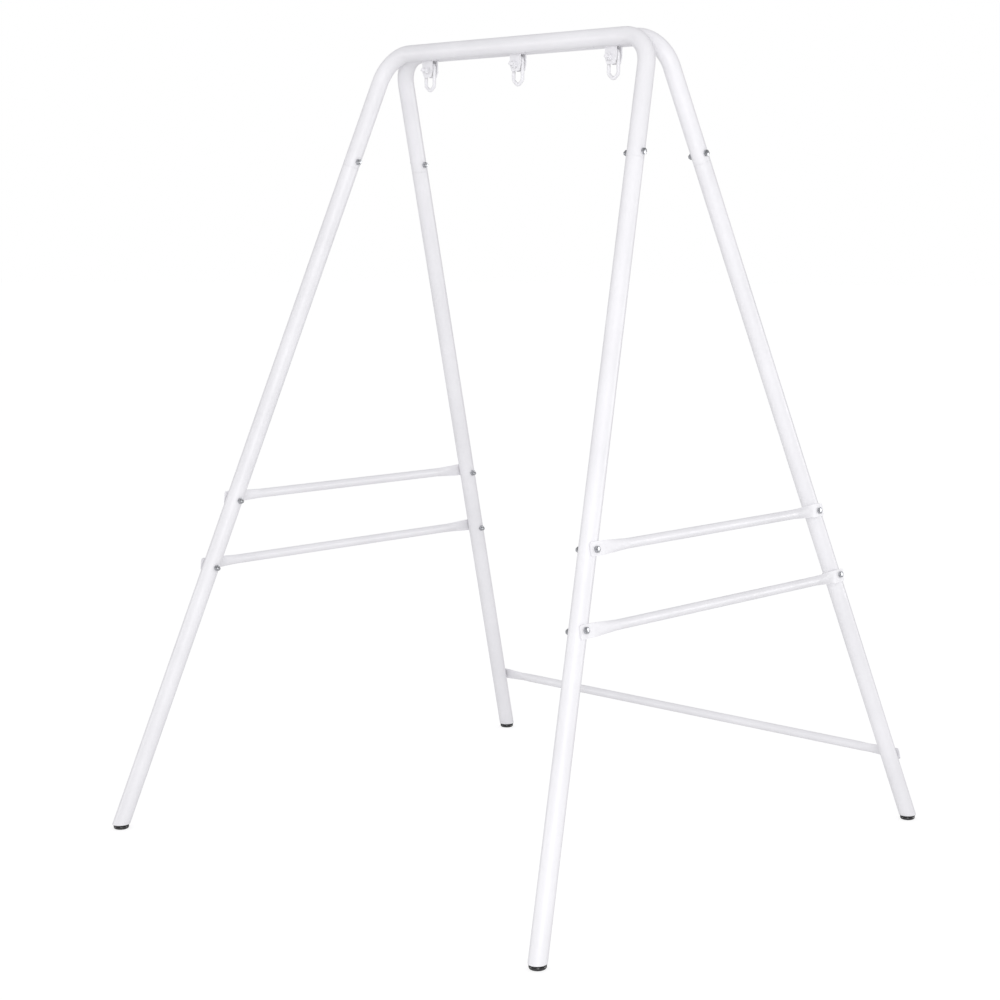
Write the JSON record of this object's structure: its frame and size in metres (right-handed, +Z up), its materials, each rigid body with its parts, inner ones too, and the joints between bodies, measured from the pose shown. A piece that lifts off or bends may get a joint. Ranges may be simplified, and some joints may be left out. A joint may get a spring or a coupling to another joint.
{
  "type": "swing stand",
  "caption": "White tubular steel A-frame swing stand: twin bent top tubes, splayed legs tied by side bars and a rear brace, and free-swinging links under the beam.",
  "frame": {"origin": "on the floor, under the middle of the beam", "axes": "+X along the beam to the right, +Y from the front to the rear (the side with the low brace), +Z up"},
  "size_m": [1.3602, 1.32, 1.803],
  "materials": {
    "white_paint": "smooth white powder coat, semi-gloss",
    "foot_rubber": "black moulded rubber, slightly glossy",
    "zinc_steel": "zinc plated, bright",
    "nylon": "natural nylon, matte"
  },
  "bodies": {
    "frame": {"bracket_welds": "white_paint", "front_left_foot": "foot_rubber", "front_left_leg": "white_paint", "front_right_foot": "foot_rubber", "front_right_leg": "white_paint", "front_top_tube": "white_paint", "hanger_pivot_nuts": "white_paint", "hanger_pivot_washers": "white_paint", "left_hanger_bracket": "white_paint", "left_lower_side_bar": "white_paint", "left_pivot_bolt": "white_paint", "left_upper_side_bar": "white_paint", "leg_joint_bolts": "zinc_steel", "leg_joint_nuts": "zinc_steel", "middle_hanger_bracket": "white_paint", "middle_pivot_bolt": "white_paint", "rear_brace": "white_paint", "rear_brace_bolts": "zinc_steel", "rear_brace_inserts": "zinc_steel", "rear_brace_washers": "zinc_steel", "rear_left_foot": "foot_rubber", "rear_left_leg": "white_paint", "rear_right_foot": "foot_rubber", "rear_right_leg": "white_paint", "rear_top_tube": "white_paint", "right_hanger_bracket": "white_paint", "right_lower_side_bar": "white_paint", "right_pivot_bolt": "white_paint", "right_upper_side_bar": "white_paint", "side_bar_bolts": "zinc_steel", "side_bar_nuts": "zinc_steel", "top_tube_welds": "white_paint"},
    "left_link": {"left_hanging_link": "white_paint", "left_pivot_bushing": "nylon"},
    "middle_link": {"middle_hanging_link": "white_paint", "middle_pivot_bushing": "nylon"},
    "right_link": {"right_hanging_link": "white_paint", "right_pivot_bushing": "nylon"}
  },
  "joints": [
    {"name": "left_link_swing", "type": "hinge", "parent": "frame", "child": "left_link", "pos_m": [-0.282, 0, 1.744], "axis": [0, 1, 0], "range_deg": [-90, 90]},
    {"name": "middle_link_swing", "type": "hinge", "parent": "frame", "child": "middle_link", "pos_m": [0, 0, 1.744], "axis": [0, 1, 0], "range_deg": [-90, 90]},
    {"name": "right_link_swing", "type": "hinge", "parent": "frame", "child": "right_link", "pos_m": [0.282, 0, 1.744], "axis": [0, 1, 0], "range_deg": [-90, 90]}
  ]
}
